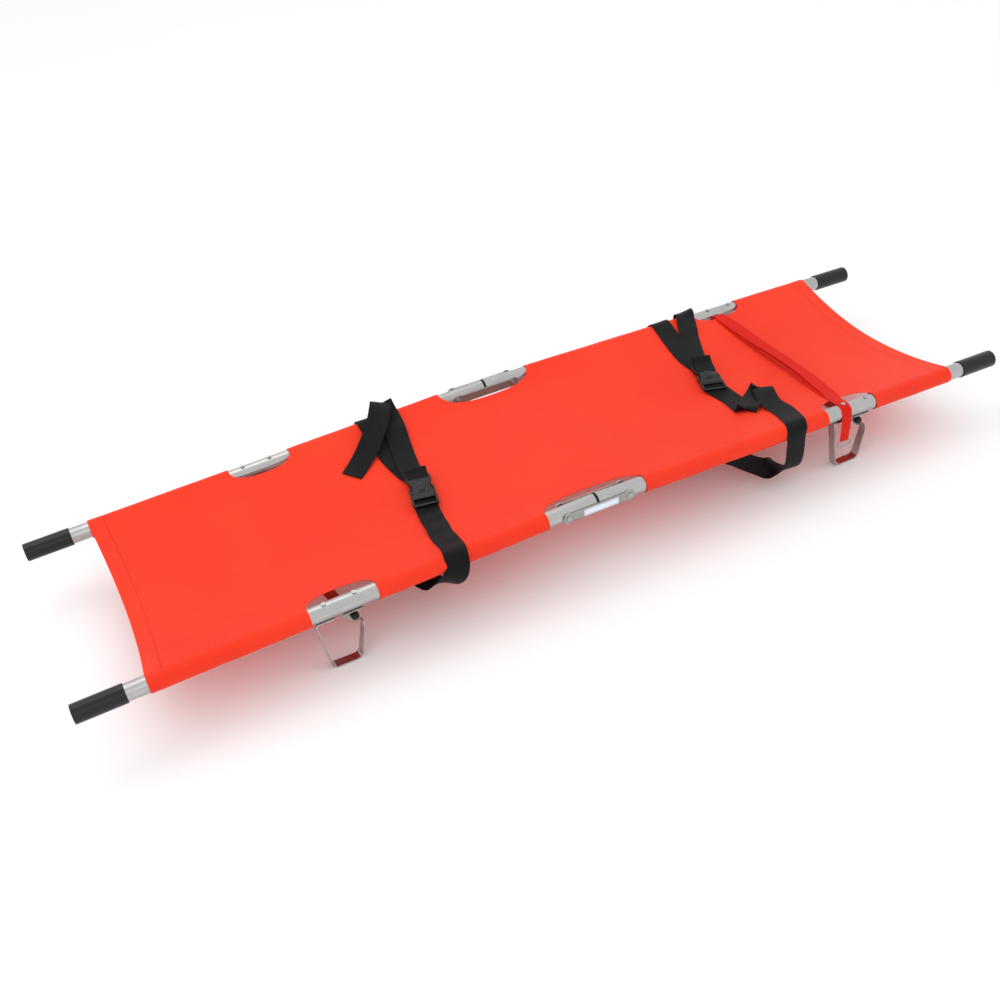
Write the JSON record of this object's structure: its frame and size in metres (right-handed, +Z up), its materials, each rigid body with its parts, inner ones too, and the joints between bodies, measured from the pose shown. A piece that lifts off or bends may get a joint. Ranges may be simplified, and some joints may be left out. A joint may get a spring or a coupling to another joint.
{
  "type": "folding stretcher",
  "caption": "Low pole stretcher with a coated cloth bed on aluminium poles, strip feet, jointed cross bars and webbing straps; it closes sideways and folds in half.",
  "frame": {"origin": "on the floor under the middle of the stretcher", "axes": "+X along the poles, +Y across from the front pole to the rear pole, +Z up"},
  "size_m": [2.1008, 0.5626, 0.195],
  "materials": {
    "anodised_tube": "brushed, anodised",
    "plate_metal": "satin",
    "foot_strip": "polished strip",
    "spreader_metal": "satin",
    "zinc_fasteners": "zinc plated",
    "grip_rubber": "semi-gloss, ribbed",
    "black_rubber": "matte",
    "buckle_plastic": "moulded",
    "bed_fabric": "coated woven cloth",
    "red_webbing": "woven webbing",
    "black_webbing": "woven webbing",
    "label_film": "printed film, blank"
  },
  "bodies": {
    "front_left": {"front_left_tube": "anodised_tube", "front_left_grip": "grip_rubber", "front_left_plug": "black_rubber", "front_left_foot": "foot_strip", "front_left_bracket": "plate_metal", "front_left_bumper": "black_rubber", "front_left_fasteners": "zinc_fasteners", "front_left_sleeve": "bed_fabric", "bed_panel_left": "bed_fabric", "strap_left": "black_webbing"},
    "front_right": {"front_right_tube": "anodised_tube", "front_right_grip": "grip_rubber", "front_right_plug": "black_rubber", "front_right_foot": "foot_strip", "front_right_bracket": "plate_metal", "front_right_bumper": "black_rubber", "front_right_fasteners": "zinc_fasteners", "front_right_sleeve": "bed_fabric", "bed_panel_right": "bed_fabric", "strap_right": "black_webbing", "red_strap": "red_webbing"},
    "front_link": {"front_outer_hinge_plate": "plate_metal", "front_inner_hinge_plate": "plate_metal", "front_hinge_bolts": "zinc_fasteners", "label": "label_film", "bed_panel_middle": "bed_fabric"},
    "rear_left": {"rear_left_tube": "anodised_tube", "rear_left_grip": "grip_rubber", "rear_left_plug": "black_rubber", "rear_left_foot": "foot_strip", "rear_left_bracket": "plate_metal", "rear_left_bumper": "black_rubber", "rear_left_fasteners": "zinc_fasteners", "rear_left_sleeve": "bed_fabric", "strap_left_rear_loop": "black_webbing"},
    "rear_right": {"rear_right_tube": "anodised_tube", "rear_right_grip": "grip_rubber", "rear_right_plug": "black_rubber", "rear_right_foot": "foot_strip", "rear_right_bracket": "plate_metal", "rear_right_bumper": "black_rubber", "rear_right_fasteners": "zinc_fasteners", "rear_right_sleeve": "bed_fabric", "strap_right_rear_loop": "black_webbing", "red_strap_rear_end": "red_webbing"},
    "rear_link": {"rear_outer_hinge_plate": "plate_metal", "rear_inner_hinge_plate": "plate_metal", "rear_hinge_bolts": "zinc_fasteners"},
    "left_spreader_front": {"left_spreader_front_link": "spreader_metal", "left_spreader_pin": "zinc_fasteners"},
    "left_spreader_rear": {"left_spreader_rear_link": "spreader_metal"},
    "left_buckle": {"strap_left_buckle": "buckle_plastic"},
    "left_latch": {"strap_left_latch": "buckle_plastic"},
    "right_spreader_front": {"right_spreader_front_link": "spreader_metal", "right_spreader_pin": "zinc_fasteners"},
    "right_spreader_rear": {"right_spreader_rear_link": "spreader_metal"},
    "right_buckle": {"strap_right_buckle": "buckle_plastic"},
    "right_latch": {"strap_right_latch": "buckle_plastic"},
    "ring": {"red_strap_ring": "zinc_fasteners"}
  },
  "joints": [
    {"name": "fold", "type": "hinge", "parent": "front_link", "child": "front_left", "pos_m": [-0.07, -0.2535, 0.1535], "axis": [0, -1, 0], "range_deg": [0, 86.5]},
    {"name": "fold_right", "type": "hinge", "parent": "front_link", "child": "front_right", "pos_m": [0.07, -0.2535, 0.1535], "axis": [0, 1, 0], "range_deg": [0, 86.5]},
    {"name": "spread", "type": "hinge", "parent": "front_left", "child": "left_spreader_front", "pos_m": [-0.53814, -0.2275, 0.10823], "axis": [0.0262, 0, -0.9997], "range_deg": [0, 96], "deforming": ["bed_panel_left", "bed_panel_right", "bed_panel_middle", "strap_left", "strap_right", "red_strap"]},
    {"name": "left_spreader_knee", "type": "hinge", "parent": "left_spreader_front", "child": "left_spreader_rear", "pos_m": [-0.57817, 0, 0.10418], "axis": [-0.0262, 0, 0.9997], "range_deg": [0, 192]},
    {"name": "left_spreader_rear_pivot", "type": "hinge", "parent": "left_spreader_rear", "child": "rear_left", "pos_m": [-0.538, 0.2275, 0.10323], "axis": [0.0262, 0, -0.9997], "range_deg": [0, 96]},
    {"name": "spread_right", "type": "hinge", "parent": "front_right", "child": "right_spreader_front", "pos_m": [0.66214, -0.2275, 0.10498], "axis": [-0.0262, 0, -0.9997], "range_deg": [0, 96]},
    {"name": "right_spreader_knee", "type": "hinge", "parent": "right_spreader_front", "child": "right_spreader_rear", "pos_m": [0.62194, 0, 0.10304], "axis": [0.0262, 0, 0.9997], "range_deg": [0, 192]},
    {"name": "right_spreader_rear_pivot", "type": "hinge", "parent": "right_spreader_rear", "child": "rear_right", "pos_m": [0.662, 0.2275, 0.09999], "axis": [-0.0262, 0, -0.9997], "range_deg": [0, 96]},
    {"name": "fold_rear", "type": "hinge", "parent": "rear_left", "child": "rear_link", "pos_m": [-0.07, 0.2535, 0.1535], "axis": [0, 1, 0], "range_deg": [0, 86.5]},
    {"name": "left_buckle_drift", "type": "slide", "parent": "front_left", "child": "left_buckle", "axis": [-0.0077, -0.9562, 0.2925], "range_m": [0, 0.20503]},
    {"name": "left_latch_release", "type": "slide", "parent": "left_buckle", "child": "left_latch", "axis": [-0.2249, -0.9744, -0.0059], "range_m": [0, 0.045]},
    {"name": "right_buckle_drift", "type": "slide", "parent": "front_right", "child": "right_buckle", "axis": [0.0048, -0.9832, 0.1823], "range_m": [0, 0.23581]},
    {"name": "right_latch_release", "type": "slide", "parent": "right_buckle", "child": "right_latch", "axis": [-0.2923, -0.9563, 0.0077], "range_m": [0, 0.045]},
    {"name": "ring_swing", "type": "hinge", "parent": "front_right", "child": "ring", "pos_m": [0.62127, -0.27325, 0.07304], "axis": [0.9997, 0, -0.0262], "range_deg": [-75, 10]}
  ],
  "couplings": [
    {"joint": "fold_right", "follows": "fold", "ratio": 1},
    {"joint": "fold_rear", "follows": "fold", "ratio": 1},
    {"joint": "left_spreader_knee", "follows": "spread", "ratio": 2},
    {"joint": "left_spreader_rear_pivot", "follows": "spread", "ratio": 1},
    {"joint": "spread_right", "follows": "spread", "ratio": 1},
    {"joint": "right_spreader_knee", "follows": "spread", "ratio": 2},
    {"joint": "right_spreader_rear_pivot", "follows": "spread", "ratio": 1},
    {"joint": "left_buckle_drift", "follows": "spread", "m_per_rad": 0.12237},
    {"joint": "right_buckle_drift", "follows": "spread", "m_per_rad": 0.14074}
  ]
}
